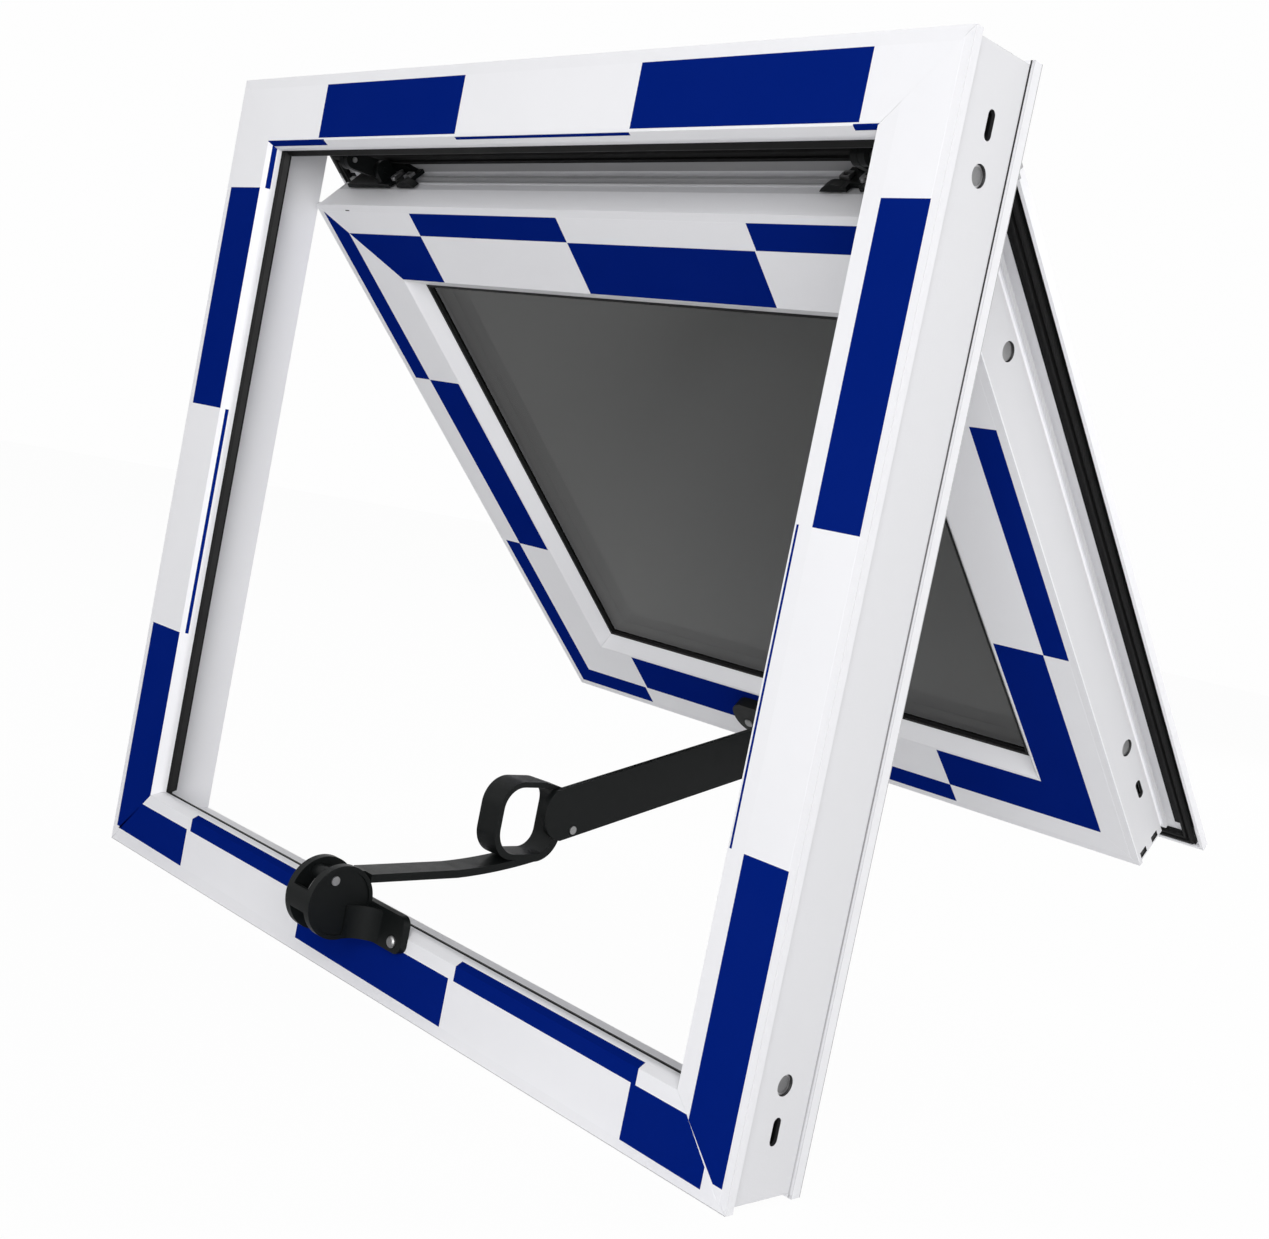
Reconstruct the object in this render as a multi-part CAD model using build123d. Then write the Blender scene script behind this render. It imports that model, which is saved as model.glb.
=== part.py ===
from build123d import *
import os
from math import atan2, cos, degrees, hypot, radians, sin

# Top-hung awning window with mitred aluminium sections, its sash standing open.
# Millimetres. +X is to the right seen from the room, +Y points outdoors, +Z is up.
# The origin is on the flat underside of the sill, midway along it and across its depth.

# Outer frame
frame_width = 560.0
frame_height = 500.0
frame_depth = 50.0
web_step = 2.0
front_flange = 5.0
back_flange = 6.0
face_flat = 39.6
lip_reach = 43.0
bevel_depth = 6.5
bevel_round = 2.0
lip_depth = 8.6
reveal_inset = 29.0
wall = 1.8
mitre_gap = 0.2

# Weather seal that sits in a groove behind the frame's lip
seal_groove_start = 34.5
seal_groove_width = 3.0
seal_groove_depth = 2.4
seal_stand = 5.0
seal_reach = 6.9
seal_skin = 1.2
fit_clearance = 0.1

# Corner joints of the frame
cleat_leg = 62.0
cleat_wall = 3.0
cleat_clearance = 0.3
cleat_cell_start = 25.0
cleat_cell_length = 18.0
pin_from_end = 54.0
pin_radius = 4.8
pin_hole_radius = 5.0
pin_length = 15.0
pin_recess = 1.4
slot_from_end = 33.0
slot_length = 13.0
slot_width = 5.0

# Opening sash
side_clearance = 4.0
top_clearance = 3.0
sash_seat = 15.0
sash_forward = 30.4
sash_drop = 34.8
open_angle = 46.9
sash_depth = 41.4
sash_lip = 3.0
sash_web_step = 0.8
rib_groove_start = 28.0
rib_groove_depth = 2.5
rib_start = 31.5
rib_end = 34.0
recess_depth = 5.0
flange_reach = 18.0
flange_thickness = 3.0
flange_rim = 2.0
flange_rim_height = 2.0
sash_flat = 48.0
glass_rebate = 50.0
bead_step = 3.0
fin_end = 59.0
fin_start = 34.4
mid_web = 20.0

# Seal on the room side of the sash's outer flange
sash_seal_near = 7.0
sash_seal_far = 14.0
sash_seal_height = 3.6
sash_seal_ridges = 2

# Glazing
bead_flat = 54.5
bead_end = 63.0
bead_skin = 1.5
bead_foot = 57.6
glass_inner_face = 10.0
pane_thickness = 5.0
glass_cavity = 12.0
glass_edge = 52.0
spacer_outer = 55.0
spacer_inner = 62.0
glazing_seal_end = 66.0
glazing_seal_nose = 1.8
outer_seal_start = 53.0
outer_seal_end = 60.0

# Holes in the webs of the sash stiles, from the sash's top edge
stile_hole_radius = 5.0
stile_upper_hole = 84.0
stile_lower_hole = 81.0
stile_slot_from_end = 46.5
stile_hole_depth = 19.5
sash_cleat_leg = 92.0
sash_cleat_height = 14.0

# Shallow seat that runs along the top rail's web, and drain notches at the foot of each stile
seat_start = 20.0
seat_end = 27.0
seat_depth = 0.8
drain_room_start = 4.0
drain_outer_start = 17.0
drain_width = 6.5
drain_height = 4.5
drain_from_end = 4.2

# Hinge at each top corner: an angle on the sash, a bracket under the head and an arm between them
hinge_from_side = 46.0
hinge_length = 62.0
hinge_upright_short = 12.0
hinge_foot_start = 20.5
hinge_foot_thickness = 2.5
hinge_upright_thickness = 2.5
hinge_upright_height = 6.8
hinge_end_chamfer = 13.0
hump_radius_x = 8.5
hump_depth = 5.0
hump_height = 4.0
hump_gap = 8.0
hump_gap_depth = 3.5
lug_from_inner = 24.0
lug_thickness = 4.0
lug_radius = 6.0
hinge_clearance = 0.3
sash_pin_rise = 8.0
sash_pin_depth = 28.0
head_pin_y = 13.0
head_pin_drop = 11.5
hinge_arm_width = 11.0
hinge_arm_thickness = 4.0
head_plate_from_side = 44.0
head_plate_length = 58.0
head_plate_start = 2.0
head_plate_end = 24.0
head_plate_thickness = 2.5
hinge_rivet_radius = 1.6
hinge_screw_radius = 4.0
hinge_screw_height = 1.2
head_screw_from_side = 58.0
link_from_inner = 16.0
link_length = 10.5
link_width = 4.0
link_height = 2.0
link_slit = 1.2
loop_from_inner = 3.5
loop_length = 6.0
loop_width = 5.0
loop_wall = 1.2

# Folding cam handle
plate_half_length = 41.0
plate_bottom = 28.5
plate_height = 20.5
plate_thickness = 4.5
plate_corner = 5.0
plate_screw_x = 33.5
plate_screw_up = 5.5
cam_radius = 20.0
cam_stand = 24.5
cam_height = 48.5
cam_half_width = 10.0
cheek_thickness = 3.5
cheek_rim = 1.0
cheek_rim_width = 2.2
drum_radius = 17.0
drum_width = 3.8
bridge_height = 12.0
bridge_thickness = 2.2
shoe_half_length = 29.0
shoe_cove = 4.0
shoe_front = 20.0
shoe_height = 18.0
running_gap = 0.3
rivet_radius = 2.5
rivet_fit = 0.05
rivet_head = 0.8
cam_rivet_y = -30.0
cam_rivet_z = 13.9

# Link arm with the finger ring
arm_width = 17.0
arm_thickness = 4.6
elbow_y = 130.4
elbow_z = 87.7
elbow_boss = 5.0
heel_run = 22.0
heel_drop = 20.1
heel_end_run = 6.0
heel_end_drop = 6.9
arm_bend_run = 76.7
arm_bend_drop = 28.4
ring_left_run = 55.4
ring_low_drop = 18.8
ring_high_rise = 27.3
ring_shoulder_run = 23.4
ring_band = 3.2
ring_corner = 16.0
shoulder_drop = 5.2
shoulder_corner = 9.0
hole_right_run = 11.6
hole_corner = 11.0

# Support arm, a flat bar beside the link arm
support_thickness = 3.6
support_gap = 0.3
support_above = 27.0
support_below = 4.2
support_end_reach = 21.0
support_end_low = 9.9
support_end_high = 11.7
support_taper = 34.0
tang_radius = 8.0

# Bracket on the sash's bottom rail
bracket_half_length = 57.5
bracket_width = 28.0
bracket_thickness = 8.0
bracket_corner = 13.0
bracket_from_bottom = 33.0
bracket_pivot_from_bottom = 29.3
bracket_pivot_stand = 16.2
bracket_boss = 7.0
bracket_screw_x = 45.0
bracket_screw_down = 3.3

# Screws of the handle
screw_head_radius = 3.2
screw_head_height = 1.6
screw_head_chamfer = 0.8
screw_shank_radius = 2.0
screw_bite = 6.0

os.makedirs("parts", exist_ok=True)

half_depth = frame_depth / 2
frame_mid_z = frame_height / 2 - web_step
sash_width = frame_width - 2 * (reveal_inset + side_clearance)
sash_height = frame_height - 2 * (reveal_inset + top_clearance)
sash_top_y = sash_seat + sash_forward - half_depth
sash_top_z = frame_height - web_step - reveal_inset - top_clearance - sash_drop
sash_place = Pos(0, sash_top_y, sash_top_z) * Rot(open_angle, 0, 0)
sill_face = -half_depth
turns = {"bottom": 0, "left": 90, "top": 180, "right": -90}


def save(name, *solids):
    export_step(Compound(children=list(solids)) if len(solids) > 1 else solids[0], f"parts/{name}.step")


def section(points):
    # A closed section whose points are (depth from the room face, inset from the outer edge).
    return Plane.YZ * make_face(Polyline(*points, close=True))


def mitred_bar(face, length, inset_low, inset_high, depth):
    # A bar along X with 45 degree ends; inset zero has the full length.
    bar = extrude(face, amount=length, both=True)
    low = length / 2 - inset_low - mitre_gap / 2
    high = length / 2 - inset_high - mitre_gap / 2
    wedge = make_face(Polyline((-low, inset_low), (low, inset_low), (high, inset_high), (-high, inset_high),
                               close=True))
    return bar & extrude(Plane.XZ * wedge, amount=4 * depth, both=True)


def ring_bar(face, side, width, height, inset_low, inset_high, depth):
    # One side of a rectangular ring whose middle is at X 0, Z 0 and whose room face is at Y 0.
    length, across = (width, height) if side in ("top", "bottom") else (height, width)
    bar = mitred_bar(face, length, inset_low, inset_high, depth)
    return Rot(0, turns[side], 0) * (Pos(0, 0, -across / 2) * bar)


def in_frame(shape):
    return Pos(0, -half_depth, frame_mid_z) * shape


def in_sash(shape):
    # From the ring's middle to the open sash, whose top edge is the origin of its own frame.
    return sash_place * (Pos(0, 0, -sash_height / 2) * shape)


def screw_hole(reach):
    # A clearance hole along Y for a screw, reaching the same way on both sides of Y 0.
    return Rot(90, 0, 0) * Cylinder(screw_shank_radius + rivet_fit, 2 * reach)


def both_sides(shape):
    return [shape, mirror(shape, about=Plane.YZ)]


# Frame section with its chambers
def frame_section():
    d = frame_depth
    outline = section([
        (0, 0), (0, face_flat), (bevel_depth - bevel_round, lip_reach - bevel_round * 0.3),
        (bevel_depth - bevel_round * 0.45, lip_reach - bevel_round * 0.08), (bevel_depth, lip_reach),
        (lip_depth, lip_reach), (lip_depth, reveal_inset), (d, reveal_inset), (d, 0), (d - back_flange, 0),
        (d - back_flange, web_step), (front_flange, web_step), (front_flange, 0),
    ])
    chamber = section([
        (wall, web_step + wall), (wall, reveal_inset - wall), (d - wall, reveal_inset - wall),
        (d - wall, web_step + wall),
    ])
    groove_floor = lip_depth - seal_groove_depth
    lip_cell = section([
        (wall, reveal_inset), (wall, face_flat - wall / 2), (groove_floor - wall, lip_reach - 2 * wall),
        (groove_floor - wall, reveal_inset),
    ])
    groove = section([
        (groove_floor, seal_groove_start), (groove_floor, seal_groove_start + seal_groove_width),
        (lip_depth + 1, seal_groove_start + seal_groove_width), (lip_depth + 1, seal_groove_start),
    ])
    return outline - chamber - lip_cell - groove


frame_face = frame_section()
frame_size = (frame_width, frame_height)
frame_bars = {side: in_frame(ring_bar(frame_face, side, *frame_size, 0, lip_reach, frame_depth))
              for side in turns}

# Slots and pin holes in the outer webs of the jambs, mirrored about the middle of each jamb
web_x = frame_width / 2 - web_step
end_offsets = [frame_height / 2 - slot_from_end, slot_from_end - frame_height / 2]
pin_offsets = [frame_height / 2 - pin_from_end, pin_from_end - frame_height / 2]
slot_cut = Rot(0, 90, 0) * extrude(SlotOverall(slot_length, slot_width), amount=wall + 1, both=True)
pin_cut = Rot(0, 90, 0) * Cylinder(pin_hole_radius, 2 * (wall + 1))
for side, sign in (("left", -1), ("right", 1)):
    for offset in end_offsets:
        frame_bars[side] -= Pos(sign * web_x, 0, frame_mid_z + offset) * slot_cut
    for offset in pin_offsets:
        frame_bars[side] -= Pos(sign * web_x, 0, frame_mid_z + offset) * pin_cut
plate_screw_z = plate_bottom + plate_screw_up
for sign in (-1, 1):
    frame_bars["bottom"] -= Pos(sign * plate_screw_x, sill_face, plate_screw_z) * screw_hole(screw_bite)
save("frame_head", frame_bars["top"])
save("frame_sill", frame_bars["bottom"])
save("frame_jamb_left", frame_bars["left"])
save("frame_jamb_right", frame_bars["right"])


# Corner cleats: extruded angles in the chambers, hollow behind the slots and drilled for the pins
def corner_cleat():
    # The cleat of the lower left corner; its outer corner is where the frame's outer edges meet.
    inner = web_step + wall + cleat_clearance
    outer = reveal_inset - wall - cleat_clearance
    depth = frame_depth - 2 * (wall + cleat_clearance)
    legs = make_face(Polyline((inner, inner), (cleat_leg, inner), (cleat_leg, outer), (outer, outer),
                              (outer, cleat_leg), (inner, cleat_leg), close=True))
    cell_mid = cleat_cell_start + cleat_cell_length / 2
    cell_width = outer - inner - 2 * cleat_wall
    across = (inner + outer) / 2
    legs -= Pos(cell_mid, across) * Rectangle(cleat_cell_length, cell_width)
    legs -= Pos(across, cell_mid) * Rectangle(cell_width, cleat_cell_length)
    body = extrude(Plane.XZ * legs, amount=depth / 2, both=True)
    body -= Pos(inner, 0, slot_from_end) * Box(4 * cleat_wall, slot_width + 2, slot_length + 2)
    bore = Rot(0, 90, 0) * Cylinder(pin_hole_radius, 2 * (pin_recess + pin_length) + 1)
    body -= Pos(web_step, 0, pin_from_end) * bore
    return Pos(-frame_width / 2, 0, -frame_height / 2) * body


cleat = Pos(0, 0, frame_mid_z) * corner_cleat()
upper = mirror(cleat, about=Plane.XY.offset(frame_mid_z))
save("corner_cleat_lower_left", cleat)
save("corner_cleat_lower_right", mirror(cleat, about=Plane.YZ))
save("corner_cleat_upper_left", upper)
save("corner_cleat_upper_right", mirror(upper, about=Plane.YZ))


def cleat_pin(sign, offset):
    middle = web_x - pin_recess - pin_length / 2
    return Pos(sign * middle, 0, frame_mid_z + offset) * Rot(0, 90, 0) * Cylinder(pin_radius, pin_length)


# Weather seal behind the lip, with a foot in its groove and a soft leaf that leans inwards
def frame_seal_section():
    foot_low = seal_groove_start + fit_clearance
    foot_high = seal_groove_start + seal_groove_width - fit_clearance
    floor = lip_depth - seal_groove_depth + fit_clearance
    back = lip_depth + fit_clearance / 2
    leaf = seal_groove_start + seal_reach
    return section([
        (floor, foot_low), (floor, foot_high), (back, foot_high), (back, leaf),
        (back + seal_stand * 0.5, leaf + seal_skin), (back + seal_stand, leaf + seal_skin / 2),
        (back + seal_stand, leaf - seal_skin),
        (back + seal_skin * 1.6, leaf - seal_skin * 1.4), (back + seal_skin * 1.6, foot_low - 0.6),
        (back, foot_low - 0.6), (back, foot_low),
    ])


frame_seal = frame_seal_section()
for side in turns:
    bar = ring_bar(frame_seal, side, *frame_size, seal_groove_start - 1, lip_reach + 4, frame_depth)
    save(f"frame_gasket_{side}", in_frame(bar))


# Sash section: lip, web, groove, rib, recess, outer flange with a rim, glazing rebate and fin
def sash_section():
    t = sash_depth
    inner_flange = t - flange_thickness
    outline = section([
        (0, 0), (0, sash_flat), (bead_step, sash_flat), (bead_step, glass_rebate), (fin_start, glass_rebate),
        (fin_start, fin_end), (t, fin_end), (t, -flange_reach),
        (inner_flange - flange_rim_height, -flange_reach),
        (inner_flange - flange_rim_height, flange_rim - flange_reach),
        (inner_flange, flange_rim - flange_reach),
        (inner_flange, recess_depth), (rib_end, recess_depth), (rib_end, 0), (rib_start, 0),
        (rib_start, rib_groove_depth), (rib_groove_start, rib_groove_depth), (rib_groove_start, sash_web_step),
        (sash_lip, sash_web_step), (sash_lip, 0),
    ])
    low = sash_web_step + wall
    deep = recess_depth + wall
    room_cell = section([
        (wall, low), (wall, sash_flat - wall), (bead_step + wall, sash_flat - wall),
        (bead_step + wall, glass_rebate - wall), (mid_web - wall / 2, glass_rebate - wall),
        (mid_web - wall / 2, low),
    ])
    outer_cell = section([
        (mid_web + wall / 2, low), (rib_groove_start - wall, low), (rib_groove_start - wall, deep),
        (t - wall, deep), (t - wall, glass_rebate - wall), (mid_web + wall / 2, glass_rebate - wall),
    ])
    fin_cell = section([
        (fin_start + wall, glass_rebate), (fin_start + wall, fin_end - wall), (t - wall, fin_end - wall),
        (t - wall, glass_rebate),
    ])
    return outline - room_cell - outer_cell - fin_cell


def sash_bar(face, side, low, high):
    return in_sash(ring_bar(face, side, sash_width, sash_height, low, high, sash_depth))


sash_face = sash_section()
sash_bars = {side: sash_bar(sash_face, side, -flange_reach, fin_end) for side in turns}
stile_web_x = sash_width / 2 - sash_web_step
stile_cut = recess_depth + wall + 1
hole_cut = Rot(0, 90, 0) * Cylinder(stile_hole_radius, 2 * stile_cut)
stile_slot = Rot(0, 90, 0) * extrude(SlotOverall(slot_length, slot_width), amount=stile_cut, both=True)
drain_down = sash_height - drain_from_end
for side, sign in (("left", -1), ("right", 1)):
    for down in (stile_upper_hole, sash_height - stile_lower_hole):
        sash_bars[side] -= sash_place * Pos(sign * stile_web_x, stile_hole_depth, -down) * hole_cut
    down = sash_height - stile_slot_from_end
    sash_bars[side] -= sash_place * Pos(sign * stile_web_x, stile_hole_depth, -down) * stile_slot
    for drain_start in (drain_room_start, drain_outer_start):
        drain_cut = Pos(sign * stile_web_x, drain_start + drain_width / 2, -drain_down)
        sash_bars[side] -= sash_place * drain_cut * Box(2 * (wall + 0.5), drain_width, drain_height)
seat_floor = sash_web_step + seat_depth
seat = section([(seat_start, -1), (seat_end, -1), (seat_end, seat_floor), (seat_start, seat_floor)])
sash_bars["top"] -= sash_bar(seat, "top", -1, seat_floor)
bracket_screw_z = bracket_from_bottom - sash_height - bracket_screw_down
for sign in (-1, 1):
    bracket_hole = Pos(sign * bracket_screw_x, 0, bracket_screw_z) * screw_hole(screw_bite)
    sash_bars["bottom"] -= sash_place * bracket_hole
save("sash_top_rail", sash_bars["top"])
save("sash_bottom_rail", sash_bars["bottom"])
save("sash_stile_left", sash_bars["left"])
save("sash_stile_right", sash_bars["right"])


# Seal on the flange: a flat strip with round ridges
def sash_seal_section():
    floor = sash_depth - flange_thickness
    top = floor - sash_seal_height
    near = sash_seal_near
    far = sash_seal_far
    pitch = (far - near) / sash_seal_ridges
    strip = section([(floor, -near), (floor, -far), (top + 1.4, -far), (top + 1.4, -near)])
    for index in range(sash_seal_ridges):
        middle = near + pitch * (index + 0.5)
        strip += section([(top + 2, -middle - pitch * 0.42), (top + 2, -middle + pitch * 0.42),
                          (top, -middle + pitch * 0.2), (top, -middle - pitch * 0.2)])
    return strip


sash_seal = sash_seal_section()
for side in turns:
    save(f"sash_gasket_{side}", sash_bar(sash_seal, side, -flange_reach, 0))


# Glazing beads: a sloped skin, a clip leg on the rebate and a foot that holds the seal
def bead_section():
    c = fit_clearance
    s = bead_skin
    foot_top = glass_inner_face - 2 * c - 0.4 - s
    return section([
        (0, sash_flat + c), (0, bead_flat), (foot_top, bead_end), (foot_top + s, bead_end),
        (foot_top + s, bead_foot), (foot_top, bead_foot), (s, bead_flat - s / 2),
        (s, glass_rebate + c + s), (foot_top, glass_rebate + c + s),
        (foot_top, glass_rebate + c), (bead_step - c, glass_rebate + c), (bead_step - c, sash_flat + c),
    ])


bead_face = bead_section()
for side in turns:
    save(f"glazing_bead_{side}", sash_bar(bead_face, side, sash_flat, bead_end + 1))


# Sealed double glazing, held between the two glazing seals
def glass_pane(start):
    pane = Box(sash_width - 2 * glass_edge, pane_thickness, sash_height - 2 * glass_edge)
    return in_sash(Pos(0, start + pane_thickness / 2, 0) * pane)


def frame_ring(low, high, start, stop):
    # A flat rectangular ring between two insets and two depths.
    outer = Rectangle(sash_width - 2 * low, sash_height - 2 * low)
    inner = Rectangle(sash_width - 2 * high, sash_height - 2 * high)
    ring = extrude(Plane.XZ * (outer - inner), amount=(stop - start) / 2, both=True)
    return Pos(0, (start + stop) / 2, 0) * ring


cavity_start = glass_inner_face + pane_thickness
outer_pane_start = cavity_start + glass_cavity
glass_outer_face = outer_pane_start + pane_thickness
save("pane_inner", glass_pane(glass_inner_face))
save("pane_outer", glass_pane(outer_pane_start))
save("glass_spacer", in_sash(frame_ring(spacer_outer, spacer_inner, cavity_start, outer_pane_start)))
seal_start = glass_inner_face - fit_clearance - 0.4
inner_seal = frame_ring(bead_foot, glazing_seal_end, seal_start, glass_inner_face)
inner_seal += frame_ring(bead_end + fit_clearance, glazing_seal_end - 1, seal_start - glazing_seal_nose + 0.4,
                         glass_inner_face)
save("glazing_gasket_inner", in_sash(inner_seal))
save("glazing_gasket_outer", in_sash(frame_ring(outer_seal_start, outer_seal_end, glass_outer_face, fin_start)))


# Sash corner cleats behind the holes and slots of the stiles
sash_cleat_low = recess_depth + wall + cleat_clearance


def sash_cleats():
    low = sash_cleat_low
    high = glass_rebate - wall - cleat_clearance - sash_cleat_height
    start = mid_web + wall / 2 + cleat_clearance
    stop = sash_depth - wall - cleat_clearance
    legs = make_face(Polyline((low, low), (sash_cleat_leg, low), (sash_cleat_leg, high), (high, high),
                              (high, sash_cleat_leg), (low, sash_cleat_leg), close=True))
    body = extrude(Plane.XZ * legs, amount=(stop - start) / 2, both=True)
    corner = Pos(-sash_width / 2, (start + stop) / 2, -sash_height / 2) * body
    top = mirror(corner, about=Plane.XY)
    return [in_sash(piece) for piece in both_sides(corner) + both_sides(top)]


save("sash_cleats", *sash_cleats())


# Pins that clamp the cleats, seen in the round holes of the jambs and stiles
def stile_pin(sign, down):
    length = sash_cleat_low - sash_web_step - pin_recess
    middle = stile_web_x - pin_recess - length / 2
    pin = Rot(0, 90, 0) * Cylinder(pin_radius, length)
    return sash_place * Pos(sign * middle, stile_hole_depth, -down) * pin


stile_holes = (stile_upper_hole, sash_height - stile_lower_hole)
save("cleat_pins", *[cleat_pin(sign, offset) for sign in (-1, 1) for offset in pin_offsets],
     *[stile_pin(sign, down) for sign in (-1, 1) for down in stile_holes])


def sash_point(down, depth):
    # The Y and Z of a point of the open sash, from its distance down the sash and its depth.
    a = radians(open_angle)
    return sash_top_y + down * sin(a) + depth * cos(a), sash_top_z - down * cos(a) + depth * sin(a)


def flat_link(start, end, width, x_low, thickness):
    # A flat bar with round ends in a plane across X, between two points given as (Y, Z).
    length = hypot(end[0] - start[0], end[1] - start[1])
    angle = degrees(atan2(end[1] - start[1], end[0] - start[0]))
    link = extrude(SlotCenterToCenter(length, width), amount=thickness)
    middle = Vector(x_low, (start[0] + end[0]) / 2, (start[1] + end[1]) / 2)
    return Plane(middle, x_dir=(0, cos(radians(angle)), sin(radians(angle))), z_dir=(1, 0, 0)) * link


def cross_hole(radius, y, z, x_low, x_high):
    return Pos((x_low + x_high) / 2, y, z) * Rot(0, 90, 0) * Cylinder(radius, x_high - x_low)


# Top hinges, modelled at the right corner and mirrored: an angle on the sash, an arm and a head bracket
reveal_z = frame_height - web_step - reveal_inset
flange_face = sash_depth - flange_thickness
sash_pin = sash_point(-sash_pin_rise, sash_pin_depth)
head_pin = (head_pin_y, reveal_z - head_pin_drop)
hinge_hole = hinge_rivet_radius + rivet_fit
hinge_outer_x = frame_width / 2 - hinge_from_side
hinge_inner_x = hinge_outer_x - hinge_length
lug_start_x = hinge_inner_x + lug_from_inner
head_plate_outer_x = frame_width / 2 - head_plate_from_side
arm_start_x = lug_start_x + lug_thickness + hinge_clearance
head_lug_x = arm_start_x + hinge_arm_thickness + hinge_clearance


def hinge_plate():
    back = flange_face - fit_clearance
    width = back - hinge_foot_start
    foot = Pos(hinge_inner_x + hinge_length / 2, hinge_foot_start + width / 2) * Rectangle(hinge_length, width)
    hump_end = hinge_inner_x + hump_radius_x
    upright_end = hinge_outer_x - hinge_upright_short
    foot -= Pos(hump_end + hump_gap / 2, hinge_foot_start) * Rectangle(hump_gap, 2 * hump_gap_depth)
    body = extrude(foot, amount=hinge_foot_thickness)
    upright = make_face(Polyline((hinge_inner_x, 0), (hinge_inner_x + hinge_end_chamfer, hinge_upright_height),
                                 (upright_end, hinge_upright_height), (upright_end, 0), close=True))
    body += Pos(0, back, 0) * extrude(Plane.XZ * upright, amount=hinge_upright_thickness)
    arc = ThreePointArc((hinge_inner_x - hump_radius_x, 0), (hinge_inner_x, hump_height), (hump_end, 0))
    hump = make_face(Curve() + [arc, Line(arc @ 1, arc @ 0)])
    body += Pos(0, hinge_foot_start + hump_depth, 0) * extrude(Plane.XZ * hump, amount=hump_depth)
    lug = Pos(sash_pin_depth, sash_pin_rise) * Circle(lug_radius)
    lug += Pos(sash_pin_depth, sash_pin_rise / 2) * Rectangle(2 * lug_radius, sash_pin_rise)
    lug -= Pos(sash_pin_depth, sash_pin_rise) * Circle(hinge_hole)
    body += Pos(lug_start_x, 0, 0) * extrude(Plane.YZ * lug, amount=lug_thickness)
    return sash_place * body


def hinge_arm():
    # The arm has its own stud in the sash's lug and a rivet at the bracket.
    arm = flat_link(head_pin, sash_pin, hinge_arm_width, arm_start_x, hinge_arm_thickness)
    arm += cross_hole(hinge_rivet_radius, *sash_pin, lug_start_x, arm_start_x + 1)
    return arm - cross_hole(hinge_hole, *head_pin, arm_start_x - 1, arm_start_x + hinge_arm_thickness + 1)


def hinge_bracket():
    width = head_plate_end - head_plate_start
    plate = Box(head_plate_length, width, head_plate_thickness)
    middle = (head_plate_outer_x - head_plate_length / 2, (head_plate_end + head_plate_start) / 2)
    bracket = Pos(middle[0], middle[1], reveal_z - head_plate_thickness / 2) * plate
    radius = hinge_arm_width / 2
    lug = Pos(*head_pin) * Circle(radius)
    lug += Pos(head_pin[0], reveal_z - head_pin_drop / 2 - 1) * Rectangle(2 * radius, head_pin_drop - 2)
    lug -= Pos(*head_pin) * Circle(hinge_hole)
    return bracket + Pos(head_lug_x, 0, 0) * extrude(Plane.YZ * lug, amount=lug_thickness)


def hinge_rivets():
    rivet_end = head_lug_x + lug_thickness + rivet_head
    head = cross_hole(hinge_rivet_radius, *head_pin, arm_start_x - rivet_head, rivet_end)
    screw_z = reveal_z - head_plate_thickness - hinge_screw_height / 2
    disc = Cylinder(hinge_screw_radius, hinge_screw_height)
    screw_x = frame_width / 2 - head_screw_from_side
    return [head, Pos(screw_x, (head_plate_start + head_plate_end) / 2, screw_z) * disc]


def hinge_links():
    # Steel pieces that lie on the angle's foot: a slotted tie and a loop.
    middle = (hinge_foot_start + flange_face) / 2
    tie = SlotOverall(link_length, link_width) - Rectangle(link_length - 2 * link_width, link_slit)
    loop = Rectangle(loop_length, loop_width)
    loop -= Rectangle(loop_length - 2 * loop_wall, loop_width - 2 * loop_wall)
    pieces = [Pos(hinge_inner_x + link_from_inner, middle, 0) * Rot(0, 0, 90) * extrude(tie, amount=link_height),
              Pos(hinge_inner_x + loop_from_inner, middle, 0) * extrude(loop, amount=link_height)]
    return [sash_place * Pos(0, 0, hinge_foot_thickness) * piece for piece in pieces]


for number, name in enumerate(("right", "left")):
    save(f"hinge_plate_{name}", both_sides(hinge_plate())[number])
    save(f"hinge_arm_{name}", both_sides(hinge_arm())[number])
    save(f"hinge_bracket_{name}", both_sides(hinge_bracket())[number])
save("hinge_rivets", *[side for piece in hinge_rivets() for side in both_sides(piece)])
save("hinge_links", *[side for piece in hinge_links() for side in both_sides(piece)])


# Folding cam handle on the sill
cam_y = sill_face - cam_stand
plate_mid_z = plate_bottom + plate_height / 2
rivet_y = sill_face + cam_rivet_y
rivet_z = cam_height + cam_rivet_z - 2
cheek_inner = cam_half_width - cheek_thickness


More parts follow.
